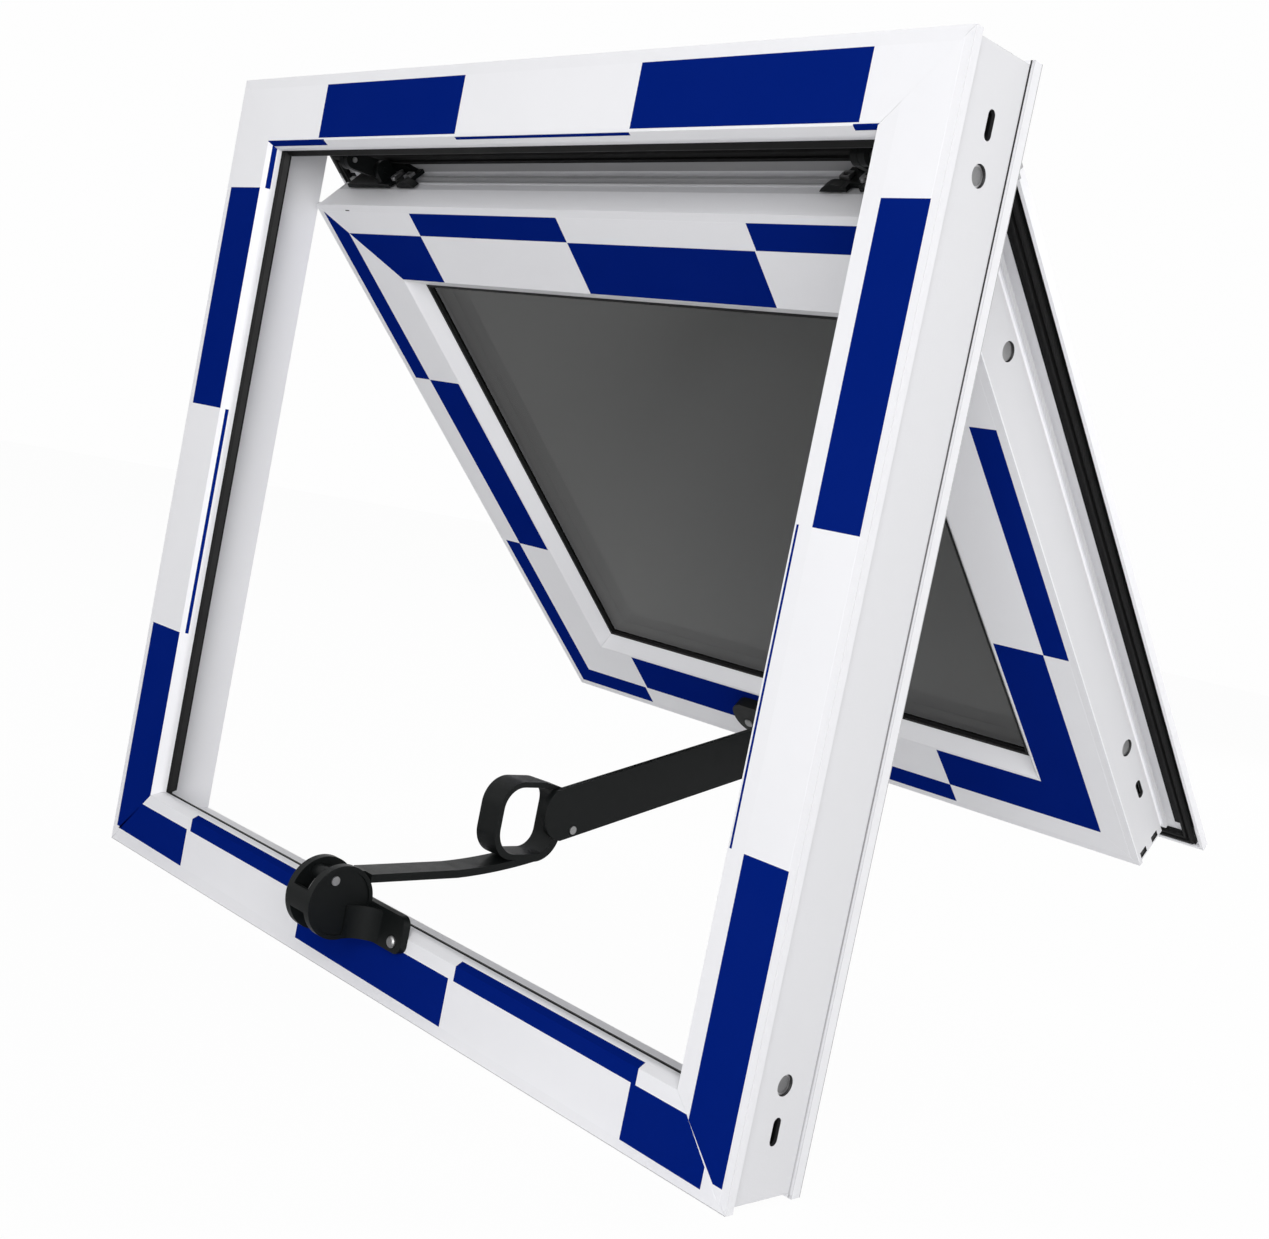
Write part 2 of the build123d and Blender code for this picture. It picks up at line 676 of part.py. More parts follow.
def handle_housing():
    front = sill_face - plate_thickness
    plate = extrude(Plane.XZ * RectangleRounded(2 * plate_half_length, plate_height, plate_corner),
                    amount=plate_thickness)
    plate = Pos(0, sill_face, plate_mid_z) * plate
    shoe_end = (cam_half_width + cheek_rim, sill_face - shoe_front)
    cove = ThreePointArc((shoe_half_length, front), (shoe_end[0] + shoe_cove, front - shoe_cove), shoe_end)
    shoe = make_face(Curve() + [
        cove, Line(shoe_end, (0, shoe_end[1])), Line((0, shoe_end[1]), (0, front + 0.5)),
        Line((0, front + 0.5), (shoe_half_length, front + 0.5)),
        Line((shoe_half_length, front + 0.5), (shoe_half_length, front)),
    ])
    shoe += mirror(shoe, about=Plane.YZ)
    with_shoe = extrude(shoe, amount=shoe_height)
    body = plate + Pos(0, 0, plate_bottom + 0.5) * with_shoe
    for sign in (-1, 1):
        middle = sign * (cam_half_width - cheek_thickness / 2)
        cheek = Rot(0, 90, 0) * Cylinder(cam_radius, cheek_thickness)
        brace = Box(cheek_thickness, cam_stand - 1, cam_radius)
        body += Pos(middle, cam_y, cam_height) * cheek
        body += Pos(middle, cam_y + (cam_stand - 1) / 2, cam_height - cam_radius / 2) * brace
        rim = Cylinder(cam_radius, cheek_rim) - Cylinder(cam_radius - cheek_rim_width, cheek_rim)
        rim = Rot(0, 90, 0) * rim
        body += Pos(sign * (cam_half_width + cheek_rim / 2), cam_y, cam_height) * rim
    throat = Box(2 * cheek_inner, cam_stand, 3 * cam_radius)
    body -= Pos(0, cam_y + cam_stand / 2 - plate_thickness - running_gap, cam_height) * throat
    bridge = Cylinder(cam_radius, 2 * cheek_inner) - Cylinder(cam_radius - bridge_thickness, 2 * cheek_inner)
    bridge &= Pos(0, -cam_radius, 0) * Box(bridge_height, cam_radius, 2 * cheek_inner)
    body += Pos(0, cam_y, cam_height) * Rot(0, 90, 0) * bridge
    body -= cross_hole(rivet_radius + rivet_fit, rivet_y, rivet_z, -cam_half_width - 5, cam_half_width + 5)
    for sign in (-1, 1):
        body -= Pos(sign * plate_screw_x, sill_face, plate_screw_z) * screw_hole(2 * plate_thickness)
    return body


def handle_drum():
    drum = Rot(0, 90, 0) * Cylinder(drum_radius, drum_width)
    middle = cheek_inner - running_gap / 2 - drum_width / 2
    drum = Pos(middle, cam_y, cam_height) * drum
    return drum - cross_hole(rivet_radius + rivet_fit, rivet_y, rivet_z, 0, cam_half_width)


save("handle_housing", handle_housing())
save("handle_drum", handle_drum())

# Link arm: a flat bar with a tang in the cam, a finger ring and a boss at the elbow
elbow = (elbow_y - half_depth, elbow_z)
ring_left = elbow[0] - ring_left_run
ring_low = elbow[1] - ring_low_drop
ring_high = elbow[1] + ring_high_rise


def link_arm():
    start = rivet_y + cam_radius + 4
    half = arm_thickness / 2
    bend = (elbow[0] - arm_bend_run, elbow[1] - arm_bend_drop)
    heel = (elbow[0] - heel_run, elbow[1] - heel_drop)
    boss_end = (elbow[0] - heel_end_run, elbow[1] - heel_end_drop)
    inside = (ring_left + ring_corner + ring_band, ring_low)
    bar = make_face(Curve() + [
        Line((start, rivet_z - half), bend),
        ThreePointArc(bend, ((bend[0] + heel[0]) / 2, (bend[1] + heel[1]) / 2 - 1.1), heel),
        ThreePointArc(heel, (elbow[0] - heel_run * 0.56, elbow[1] - heel_drop * 0.83), boss_end),
        Line(boss_end, elbow), Line(elbow, (heel[0], ring_low + ring_band / 2)),
        Line((heel[0], ring_low + ring_band / 2), inside),
        ThreePointArc(inside, ((bend[0] + inside[0]) / 2, (bend[1] + arm_thickness + inside[1]) / 2 - 0.6),
                      (bend[0], bend[1] + arm_thickness)),
        Line((bend[0], bend[1] + arm_thickness), (start, rivet_z + half)),
        Line((start, rivet_z + half), (start, rivet_z - half)),
    ])
    arm = extrude(Plane.YZ * bar, amount=arm_width / 2, both=True)
    shoulder = (elbow[0] - ring_shoulder_run, ring_high)
    loop = FilletPolyline(
        (ring_left, ring_low), (heel[0] + 2, ring_low), (boss_end[0], boss_end[1] + 1),
        (elbow[0] + 2, elbow[1] + 4), (elbow[0] - 1, ring_high - shoulder_drop), shoulder,
        (ring_left, ring_high),
        radius=[ring_corner, 1, 1, 4, shoulder_corner, ring_corner, ring_corner], close=True)
    arm += extrude(Plane.YZ * make_face(loop), amount=arm_width / 2, both=True)
    arm += cross_hole(elbow_boss, *elbow, -arm_width / 2, arm_width / 2)
    left = ring_left + ring_band
    right = elbow[0] - hole_right_run
    low = ring_low + ring_band
    high = ring_high - ring_band
    hole = FilletPolyline((left, low), (right, low), (right, high), (left, high),
                          radius=[ring_corner - 1, hole_corner, hole_corner, ring_corner - ring_band],
                          close=True)
    arm -= extrude(Plane.YZ * make_face(hole), amount=arm_width, both=True)
    tang_high = cheek_inner - running_gap - drum_width
    tang = make_face(Polyline((rivet_y, rivet_z - 4), (start + 6, rivet_z - 1.5),
                              (start + 6, rivet_z + 2), (rivet_y, rivet_z + 4), close=True))
    tang = extrude(Plane.YZ * tang, amount=tang_high + cheek_inner - running_gap)
    tang = Pos(running_gap - cheek_inner, 0, 0) * tang
    tang += cross_hole(4.5, rivet_y, rivet_z, running_gap - cheek_inner, tang_high)
    arm += tang
    arm -= cross_hole(rivet_radius + rivet_fit, rivet_y, rivet_z, -arm_width, arm_width)
    return arm - cross_hole(rivet_radius + rivet_fit, *elbow, -arm_width, arm_width)


save("link_arm", link_arm())

# Support arm between the elbow and the bracket's pivot, on the outer side of both
sash_pivot = sash_point(sash_height - bracket_pivot_from_bottom, -bracket_pivot_stand)
arm_length = hypot(sash_pivot[0] - elbow[0], sash_pivot[1] - elbow[1])
arm_angle = degrees(atan2(sash_pivot[1] - elbow[1], sash_pivot[0] - elbow[0]))
support_inner = arm_width / 2 + support_gap
support_outer = support_inner + support_thickness


def support_arm():
    low = (-support_end_low, -support_below)
    high = (-support_end_high, support_above)
    middle = (-support_end_reach, (support_above - support_below) / 2)
    side = make_face(Curve() + [
        ThreePointArc(high, middle, low), Line(low, (arm_length, -support_below)),
        Line((arm_length, -support_below), (arm_length, tang_radius)),
        Line((arm_length, tang_radius), (arm_length - support_taper, support_above)),
        Line((arm_length - support_taper, support_above), high),
    ])
    side += Pos(arm_length, 0) * Circle(tang_radius)
    side -= Circle(rivet_radius + rivet_fit)
    side -= Pos(arm_length, 0) * Circle(rivet_radius + rivet_fit)
    lie = Plane((0, elbow[0], elbow[1]), x_dir=(0, cos(radians(arm_angle)), sin(radians(arm_angle))),
                z_dir=(1, 0, 0))
    return lie * Pos(0, 0, support_inner) * extrude(side, amount=support_thickness)


save("support_arm", support_arm())


# Bracket on the bottom rail, with a boss beside the support arm
def sash_bracket():
    middle = sash_height - bracket_from_bottom
    base = extrude(Plane.XZ * RectangleRounded(2 * bracket_half_length, bracket_width, bracket_corner),
                   amount=bracket_thickness)
    base = Pos(0, 0, -middle) * base
    pivot_down = sash_height - bracket_pivot_from_bottom
    boss = cross_hole(bracket_boss, -bracket_pivot_stand, -pivot_down, -arm_width / 2, arm_width / 2)
    neck = Box(arm_width, bracket_pivot_stand, 2 * bracket_boss)
    boss += Pos(0, -bracket_pivot_stand / 2, -pivot_down) * neck
    body = base + boss
    body -= cross_hole(rivet_radius + rivet_fit, -bracket_pivot_stand, -pivot_down, -arm_width, arm_width)
    for sign in (-1, 1):
        body -= Pos(sign * bracket_screw_x, 0, bracket_screw_z) * screw_hole(2 * bracket_thickness)
    return sash_place * body


save("sash_bracket", sash_bracket())

# Rivets of the handle, each standing a little proud at both ends
def rivet(y, z, low, high):
    return cross_hole(rivet_radius, y, z, low - rivet_head, high + rivet_head)


save("handle_rivets", rivet(rivet_y, rivet_z, -cam_half_width, cam_half_width),
     rivet(*elbow, -arm_width / 2, support_outer), rivet(*sash_pivot, -arm_width / 2, support_outer))


# Screws, with a chamfered head on the piece and a shank into the section behind
def screw(through):
    head = Cylinder(screw_head_radius, screw_head_height, align=(Align.CENTER, Align.CENTER, Align.MIN))
    head = chamfer(head.edges().sort_by(Axis.Z)[-1], screw_head_chamfer)
    shank = Cylinder(screw_shank_radius, through + screw_bite, align=(Align.CENTER, Align.CENTER, Align.MAX))
    return Rot(90, 0, 0) * (head + shank)


base_screws = [Pos(sign * plate_screw_x, sill_face - plate_thickness, plate_screw_z) * screw(plate_thickness)
               for sign in (-1, 1)]
bracket_screws = [sash_place * Pos(sign * bracket_screw_x, -bracket_thickness, bracket_screw_z)
                  * screw(bracket_thickness) for sign in (-1, 1)]
save("handle_screws", *base_screws, *bracket_screws)
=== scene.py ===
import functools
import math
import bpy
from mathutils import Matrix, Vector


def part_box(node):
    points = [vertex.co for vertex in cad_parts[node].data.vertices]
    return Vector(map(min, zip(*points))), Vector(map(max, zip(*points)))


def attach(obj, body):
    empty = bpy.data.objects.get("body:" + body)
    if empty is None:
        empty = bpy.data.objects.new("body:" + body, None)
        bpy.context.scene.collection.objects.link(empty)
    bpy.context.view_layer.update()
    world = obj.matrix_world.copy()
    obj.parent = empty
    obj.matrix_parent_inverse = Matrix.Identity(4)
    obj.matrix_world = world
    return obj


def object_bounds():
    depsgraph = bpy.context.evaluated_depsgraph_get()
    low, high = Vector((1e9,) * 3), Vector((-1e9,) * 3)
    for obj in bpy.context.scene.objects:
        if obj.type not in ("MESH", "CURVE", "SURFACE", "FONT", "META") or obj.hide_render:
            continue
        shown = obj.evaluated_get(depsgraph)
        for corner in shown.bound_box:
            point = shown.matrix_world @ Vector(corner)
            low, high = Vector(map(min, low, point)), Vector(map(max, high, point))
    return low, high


bl_info = {
    "name": "Awning window dressing",
    "version": (1, 0, 0),
    "blender": (4, 5, 0),
    "location": "3D View > Sidebar > Window",
    "description": "Finishes, protective film and studio for a small top-hung window",
    "category": "Object",
}

import bmesh
import bpy
from mathutils import Matrix, Vector

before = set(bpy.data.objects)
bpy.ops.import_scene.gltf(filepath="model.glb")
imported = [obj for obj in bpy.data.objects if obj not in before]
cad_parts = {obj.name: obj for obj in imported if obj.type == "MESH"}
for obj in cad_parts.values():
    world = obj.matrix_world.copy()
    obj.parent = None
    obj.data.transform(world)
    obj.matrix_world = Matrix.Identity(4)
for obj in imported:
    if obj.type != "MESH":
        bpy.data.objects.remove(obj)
cad_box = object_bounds()

MM = 0.001
BODY = "root"
SIDES = ("bottom", "left", "top", "right")
LEVEL_SIDES = ("bottom", "top")
TURNS = {"bottom": 0.0, "left": 90.0, "top": 180.0, "right": -90.0}

FRAME_BARS = ("frame_head", "frame_sill", "frame_jamb_left", "frame_jamb_right")
SASH_BARS = ("sash_top_rail", "sash_bottom_rail", "sash_stile_left", "sash_stile_right")


# Sizes read from the frame

def box_of(*names):
    # The lowest and highest corner of one or more nodes together.
    boxes = [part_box(name) for name in names]
    low = Vector([min(box[0][axis] for box in boxes) for axis in range(3)])
    high = Vector([max(box[1][axis] for box in boxes) for axis in range(3)])
    return low, high


FRAME_LOW, FRAME_HIGH = box_of(*FRAME_BARS)
FRAME_WIDTH = FRAME_HIGH.x - FRAME_LOW.x
FRAME_HEIGHT = FRAME_HIGH.z - FRAME_LOW.z
FRAME_MIDDLE = Vector((0.0, FRAME_LOW.y, (FRAME_LOW.z + FRAME_HIGH.z) / 2))

# The sash's own places, as in the part's source: how far it hangs open and where its top edge lies
OPEN_ANGLE = math.radians(46.9)
SASH_TOP = Vector((0.0, 20.4, 431.2)) * MM
SASH_WIDTH = 494.0 * MM
SASH_HEIGHT = 436.0 * MM


# Shader maths

class Value:
    # A shader socket that takes Python's operators and adds the Math nodes for them.
    def __init__(self, shader, socket):
        self.shader = shader
        self.socket = socket

    def _math(self, operation, *inputs):
        return self.shader.node("ShaderNodeMath", {"operation": operation}, dict(enumerate(inputs)))

    def __add__(self, other):
        return self._math("ADD", self, other)

    def __radd__(self, other):
        return self._math("ADD", other, self)

    def __sub__(self, other):
        return self._math("SUBTRACT", self, other)

    def __rsub__(self, other):
        return self._math("SUBTRACT", other, self)

    def __mul__(self, other):
        return self._math("MULTIPLY", self, other)

    def __rmul__(self, other):
        return self._math("MULTIPLY", other, self)

    def __truediv__(self, other):
        return self._math("DIVIDE", self, other)

    def __gt__(self, other):
        return self._math("GREATER_THAN", self, other)

    def __lt__(self, other):
        return self._math("LESS_THAN", self, other)

    def __abs__(self):
        return self._math("ABSOLUTE", self)

    def either(self, other):
        return self._math("MAXIMUM", self, other)


class Shader:
    # The nodes of a material or of the world.
    def __init__(self, holder, output_kind):
        holder.use_nodes = True
        self.tree = holder.node_tree
        self.tree.nodes.clear()
        self.output = self.tree.nodes.new(output_kind)

    def put(self, socket, value):
        if isinstance(value, Value):
            self.tree.links.new(value.socket, socket)
        else:
            socket.default_value = value

    def node(self, kind, settings, inputs, output=0):
        made = self.tree.nodes.new(kind)
        for key, value in settings.items():
            setattr(made, key, value)
        for key, value in inputs.items():
            self.put(made.inputs[key], value)
        return Value(self, made.outputs[output])

    def rays(self, *kinds):
        # One for the named kinds of ray, and nought for every other.
        path = self.tree.nodes.new("ShaderNodeLightPath")
        seen = [Value(self, path.outputs[f"Is {kind} Ray"]) for kind in kinds]
        return functools.reduce(Value.either, seen)

    def finish(self, value):
        self.put(self.output.inputs["Surface"], value)


class Finish(Shader):
    # A material under construction, with one Principled BSDF.
    def __init__(self, name):
        self.material = bpy.data.materials.new(name)
        super().__init__(self.material, "ShaderNodeOutputMaterial")
        self.bsdf = self.tree.nodes.new("ShaderNodeBsdfPrincipled")
        self.finish(Value(self, self.bsdf.outputs[0]))

    def set(self, **values):
        for name, value in values.items():
            self.put(self.bsdf.inputs[name.replace("_", " ")], value)

    def place(self):
        return self.node("ShaderNodeTexCoord", {}, {}, "Object")

    def axes(self):
        # X, Y and Z of the shaded point, in millimetres.
        parts = self.tree.nodes.new("ShaderNodeSeparateXYZ")
        self.put(parts.inputs[0], self.place())
        return [Value(self, output) / MM for output in parts.outputs]

    def sash_axes(self):
        # X, the way down the open sash and the depth behind its room face, in millimetres.
        across, out, up = self.axes()
        out = out - SASH_TOP.y / MM
        up = up - SASH_TOP.z / MM
        sine, cosine = math.sin(OPEN_ANGLE), math.cos(OPEN_ANGLE)
        return across, out * sine - up * cosine, out * cosine + up * sine

    def noise(self, scale, detail=2.0, roughness=0.5):
        inputs = {"Vector": self.place(), "Scale": scale, "Detail": detail, "Roughness": roughness}
        return self.node("ShaderNodeTexNoise", {}, inputs)

    def mix(self, factor, first, second):
        return self.node("ShaderNodeMix", {"data_type": "RGBA"}, {0: factor, 6: first, 7: second}, 2)

    def bump(self, height, strength, distance):
        inputs = {"Height": height, "Strength": strength, "Distance": distance * MM}
        self.set(Normal=self.node("ShaderNodeBump", {}, inputs))


def linear(red, green, blue):
    # A colour given in display steps of 0 to 255, as the linear values that shaders take.
    def channel(step):
        part = step / 255.0
        return part / 12.92 if part <= 0.04045 else ((part + 0.055) / 1.055) ** 2.4
    return (channel(red), channel(green), channel(blue), 1.0)


def grey(step):
    return linear(step, step, step + 1)


def shaded(colour, factor, lift=0.0):
    # A colour made darker or paler, with its alpha kept at one.
    return [min(1.0, part * factor + lift) for part in colour[:3]] + [1.0]


# Settings that a user may change

class CoatSettings(bpy.types.PropertyGroup):
    white: bpy.props.FloatVectorProperty(name="Powder coat", description="Colour of the white powder coat",
                                         subtype="COLOR", size=4, min=0.0, max=1.0,
                                         default=linear(237, 237, 240))
    black: bpy.props.FloatVectorProperty(name="Handle coat", description="Colour of the handle's black coat",
                                         subtype="COLOR", size=4, min=0.0, max=1.0,
                                         default=linear(12, 14, 14))
    glass: bpy.props.FloatVectorProperty(name="Glass tint", description="Tint that each glass surface gives",
                                         subtype="COLOR", size=4, min=0.0, max=1.0,
                                         default=(0.180, 0.182, 0.180, 1.0))


class FilmSettings(bpy.types.PropertyGroup):
    blue: bpy.props.FloatVectorProperty(name="Print", description="Blue of the film's printed blocks",
                                        subtype="COLOR", size=4, min=0.0, max=1.0,
                                        default=linear(1, 28, 114))
    white: bpy.props.FloatVectorProperty(name="Film", description="White of the film between the blocks",
                                         subtype="COLOR", size=4, min=0.0, max=1.0,
                                         default=linear(235, 235, 238))
    thickness: bpy.props.FloatProperty(name="Thickness", description="Thickness of the film", unit="LENGTH",
                                       default=0.12 * MM, min=0.0)


class StageSettings(bpy.types.PropertyGroup):
    lens: bpy.props.FloatProperty(name="Lens", description="Focal length in millimetres on a 36 mm sensor",
                                  default=46.28, min=1.0)
    world: bpy.props.FloatProperty(name="Room light", description="Strength of the even light all round",
                                   default=0.27, min=0.0)


def settings(kind):
    return getattr(bpy.context.scene, kind)


# Painted shade on the powder coat, and a scratch and a speck on the sash. A mark is a share of the dark grey
# between nought and one, and its place is in millimetres from the window's middle on the frame, and from the
# top of the room face on the sash.

# The dark grey that the painted shade, and the sash's scratch and speck, go towards
PAINTED_SHADE_AND_MARK_GREY = grey(38)


def near(value, middle, reach):
    # One where a value lies within a reach of a middle, and nought elsewhere.
    return abs(value - middle) < reach


def frame_painted_shade(shader):
    # All painted shade: dark walls in the jambs' pin holes, a painted shadow line at the step where the web
    # meets the outer flange, darker higher up, and shade on the outer webs and the side faces
    across, out, up = shader.axes()
    across = abs(across)
    hole_wall_shade = near(across, 276.9, 1.0) * near(out, 0.0, 6.0)
    step_shadow_strength = up * 0.0014 + 0.2
    flange_step_shadow = near(out, 19.0, 0.3) * near(across, 278.3, 0.4) * step_shadow_strength
    web_shade = (across > 277.7) * near(out, 0.0, 19.2)
    # Painted shade on the side faces
    side = across > 279.8
    # Dark lines painted as shade along the outermost back corner and the lowest front edge
    outer_corner_shade = side * (out > 24.5)
    lower_corner_shade = (up < -1.6) * (out < -24.9)
    edges = outer_corner_shade + lower_corner_shade
    return hole_wall_shade + flange_step_shadow + web_shade * 0.24 + side * 0.13 + edges * 0.42


def sash_painted_shade_and_marks(shader):
    # Painted shade on the sash: dark walls in the stiles' pin holes and drain notches, the top rail's ledge
    # under the head, the flange's room-side face in the rebate and the stiles' outer webs. The scratch and
    # the speck are marks on the coat.
    across, down, depth = shader.sash_axes()
    wide = abs(across)
    room_face = depth < 0.4
    hole_wall_shade = near(wide, 241.9, 4.2) * near(depth, 19.5, 5.6) * near(down, 250.0, 179.0)
    drain_wall_shade = near(wide, 244.9, 1.2) * (down > 428.5) * near(depth, 13.7, 10.0)
    scratch = near(across, -214.0, 2.2) * near(down, 4.0, 0.4) * room_face
    speck = near(across, 230.0, 0.8) * near(down, 372.0, 0.9) * room_face
    # Painted shade under the head, along the top rail's ledge and groove
    ledge_shade = near(depth, 29.2, 8.7) * 0.22 + near(depth, 34.3, 3.5) * 0.34
    top_rail_ledge_shade = (down < 3.0) * ledge_shade
    flange_shade = (down < -0.5) * near(depth, 38.0, 3.2) * 0.58
    web_shade = (wide > 245.6) * near(depth, 18.3, 17.5) * (down > 0.0) * 0.20
    return hole_wall_shade + drain_wall_shade + scratch + speck + top_rail_ledge_shade + flange_shade + web_shade


# Materials

def powder_coat(name, roughness=0.38, shade_and_marks=None):
    colour = list(settings("coats").white)
    shader = Finish(name)
    cloud = shader.noise(14.0, detail=3.0)
    tone = shader.mix(cloud * 0.9, shaded(colour, 0.975), colour)
    if shade_and_marks:
        # Mixes in the painted shade, and on the sash a scratch and a speck, towards the dark grey
        tone = shader.mix(shade_and_marks(shader), tone, PAINTED_SHADE_AND_MARK_GREY)
    peel = shader.noise(900.0)
    shader.set(Base_Color=tone, Roughness=roughness + 0.10 * shader.noise(60.0))
    shader.bump(peel, strength=0.12, distance=0.4)
    return shader.material


def rubber(name, step):
    shader = Finish(name)
    shade = shader.noise(220.0, detail=3.0)
    pale = linear(step + 6, step + 6, step + 6)
    shader.set(Base_Color=shader.mix(shade, grey(step - 6), pale),
               Roughness=0.46 + 0.2 * shader.noise(45.0),
               Specular_IOR_Level=0.18)
    shader.bump(shader.noise(1500.0), strength=0.15, distance=0.2)
    return shader.material


def handle_coat(name):
    colour = list(settings("coats").black)
    shader = Finish(name)
    grain = shader.noise(1400.0, detail=3.0, roughness=0.6)
    shader.set(Base_Color=shader.mix(grain, colour, shaded(colour, 1.7)),
               Roughness=0.34 + 0.14 * shader.noise(130.0),
               Specular_IOR_Level=0.14)
    shader.bump(grain, strength=0.25, distance=0.3)
    return shader.material


def bare_metal(name, step, roughness):
    shader = Finish(name)
    grain = shader.noise(700.0, detail=3.0, roughness=0.6)
    pale = linear(step + 12, step + 12, step + 12)
    shader.set(Base_Color=shader.mix(grain, grey(step - 16), pale), Metallic=1.0,
               Roughness=roughness + 0.14 * grain)
    shader.bump(grain, strength=0.1, distance=0.1)
    return shader.material


PIN_MIDDLE = 248.0
PIN_OFFSET = 196.0
PIN_FACE_RADIUS_SQUARED = 15.5


def pin_metal(name):
    # Zinc, with a painted highlight as a bright rim round the face of the jambs' pins.
    shader = Finish(name)
    _, out, up = shader.axes()
    off = abs(up - PIN_MIDDLE) - PIN_OFFSET
    highlight_rim = (out * out + off * off) > PIN_FACE_RADIUS_SQUARED
    grain = shader.noise(500.0, detail=3.0, roughness=0.6)
    face = shader.mix(grain, grey(118), grey(146))
    shader.set(Base_Color=shader.mix(highlight_rim, face, grey(190)), Metallic=1.0, Roughness=0.34 + 0.1 * grain)
    shader.bump(grain, strength=0.15, distance=0.1)
    return shader.material


def tinted_glass(name):
    shader = Finish(name)
    shader.set(Base_Color=list(settings("coats").glass), Roughness=0.02, IOR=1.5, Transmission_Weight=1.0)
    return shader.material


def film(name, colour, roughness, gloss):
    shader = Finish(name)
    pale = shaded(colour, 1.05, lift=0.002)
    shader.set(Base_Color=shader.mix(shader.noise(18.0, detail=3.0), colour, pale),
               Roughness=roughness + 0.12 * shader.noise(35.0),
               Specular_IOR_Level=gloss)
    ripple = shader.noise(55.0) + 0.25 * shader.noise(420.0)
    shader.bump(ripple, strength=0.10, distance=0.6)
    return shader.material


def paint(nodes, material):
    # Give CAD nodes a finish in their own slots.
    for name in nodes:
        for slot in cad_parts[name].material_slots:
            slot.material = material


# Mesh helpers

def finished(name, mesh, slot, *materials):
    piece = bpy.data.objects.new(name, mesh)
    bpy.context.scene.collection.objects.link(piece)
    for material in materials:
        piece.data.materials.append(material)
    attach(piece, BODY)


def mesh_from(name, bm):
    data = bpy.data.meshes.new(name)
    bm.to_mesh(data)
    bm.free()
    return data


def turned(side, width, height):
    # From a bar's own plane (X along it, Z in from the outer edge, Y out of the room) to the middle of a
    # rectangle of four such bars.
    across = height if side in LEVEL_SIDES else width
    return Matrix.Rotation(math.radians(TURNS[side]), 4, "Y") @ Matrix.Translation((0, 0, -across / 2))


def bar_place(side, on_sash):
    if on_sash:
        middle = (Matrix.Translation(SASH_TOP) @ Matrix.Rotation(OPEN_ANGLE, 4, "X")
                  @ Matrix.Translation((0, 0, -SASH_HEIGHT / 2)))
        return middle @ turned(side, SASH_WIDTH, SASH_HEIGHT)
    return Matrix.Translation(FRAME_MIDDLE) @ turned(side, FRAME_WIDTH, FRAME_HEIGHT)


def bar_length(side, on_sash):
    # In millimetres, from corner to corner.
    width, height = (SASH_WIDTH, SASH_HEIGHT) if on_sash else (FRAME_WIDTH, FRAME_HEIGHT)
    return (width if side in LEVEL_SIDES else height) / MM


# Strips along the bars. A face is a section's outline, as pairs of an inset from the bar's outer edge and
# the depth out of the room that it has there, in millimetres.

FRAME_FACE = ((0.0, 0.0), (39.6, 0.0), (42.4, 4.5), (42.84, 5.6), (43.0, 6.5))
SASH_FACE = ((0.0, 0.0), (54.5, 0.0), (63.0, 7.9))

# The soft lip of the frame's seal, which leans in past the aluminium, and the base of the sash's seal
SEAL_LIP = ((41.8, 11.0), (44.6, 14.6))
SEAL_BASE = ((-16.0, 38.1), (-2.4, 38.1))
SEAL_LIP_THICKNESS = 1.0
SEAL_BASE_THICKNESS = 0.5
SEAL_HALF_GAP = 0.05

FILM_HALF_GAP = 0.02

# The share of a strip's thickness that lies above the face
PROUD_SHARE = 0.6

# The sill's film was laid askew: its lower edge lies this much further out at the right end, and further
# in at the left end
SILL_FILM_TILT = -2.2


def face_depth(face, inset):
    # The face's depth at an inset, carried on past its last point.
    for (low, start), (high, stop) in zip(face, face[1:]):
        if inset <= high or (high, stop) == face[-1]:
            return start + (stop - start) * (inset - low) / (high - low)


def whole(bm):
    return bm.verts[:] + bm.edges[:] + bm.faces[:]


def flat_strip(low, high, edges, span, length, breaks, half_gap):
    # A strip from one inset to another, cut across at its edges and along at its breaks, and trimmed to
    # the mitres at the bar's ends and to its span.
    bm = bmesh.new()
    bmesh.ops.create_grid(bm, x_segments=1, y_segments=1, size=0.5)
    middle = Vector((0, 0, (low + high) / 2))
    bmesh.ops.transform(bm, matrix=Matrix.Translation(middle) @ Matrix.Diagonal((length, 1, high - low, 1))
                        @ Matrix.Rotation(math.radians(90), 4, "X"), verts=bm.verts)
    for edge in edges:
        bmesh.ops.bisect_plane(bm, geom=whole(bm), plane_co=(edge, 0, 0), plane_no=(1, 0, 0))
    for inset in breaks:
        if low < inset < high:
            bmesh.ops.bisect_plane(bm, geom=whole(bm), plane_co=(0, 0, inset), plane_no=(0, 0, 1))
    for sign, stop in zip((-1, 1), span):
        mitre = sign * (length / 2 - half_gap)
        for place, slope in ((mitre, 1), (stop, 0)):
            bmesh.ops.bisect_plane(bm, geom=whole(bm), clear_outer=True, plane_co=(place, 0, 0),
                                   plane_no=(sign, 0, slope))
    return bm


def bent_strip(low, high, edges, first_blue, span, length, face, thickness, half_gap, tilt=0.0):
    # A strip on the section's face, with the print in every other block between its edges.
    breaks = [inset for inset, _ in face]
    bm = flat_strip(low, high, edges, span, length, breaks, half_gap)
    for item in bm.faces:
        along = item.calc_center_median().x
        passed = sum(1 for edge in edges if edge < along)
        item.material_index = int((passed % 2 == 0) == first_blue)
    for vert in bm.verts:
        share = (vert.co.z - low) / (high - low)
        vert.co.z += tilt * (1 - share) * vert.co.x / (length / 2)
        vert.co.y = face_depth(face, vert.co.z) - thickness * PROUD_SHARE
    bmesh.ops.solidify(bm, geom=bm.faces[:], thickness=thickness)
    bmesh.ops.recalc_face_normals(bm, faces=bm.faces[:])
    return bm


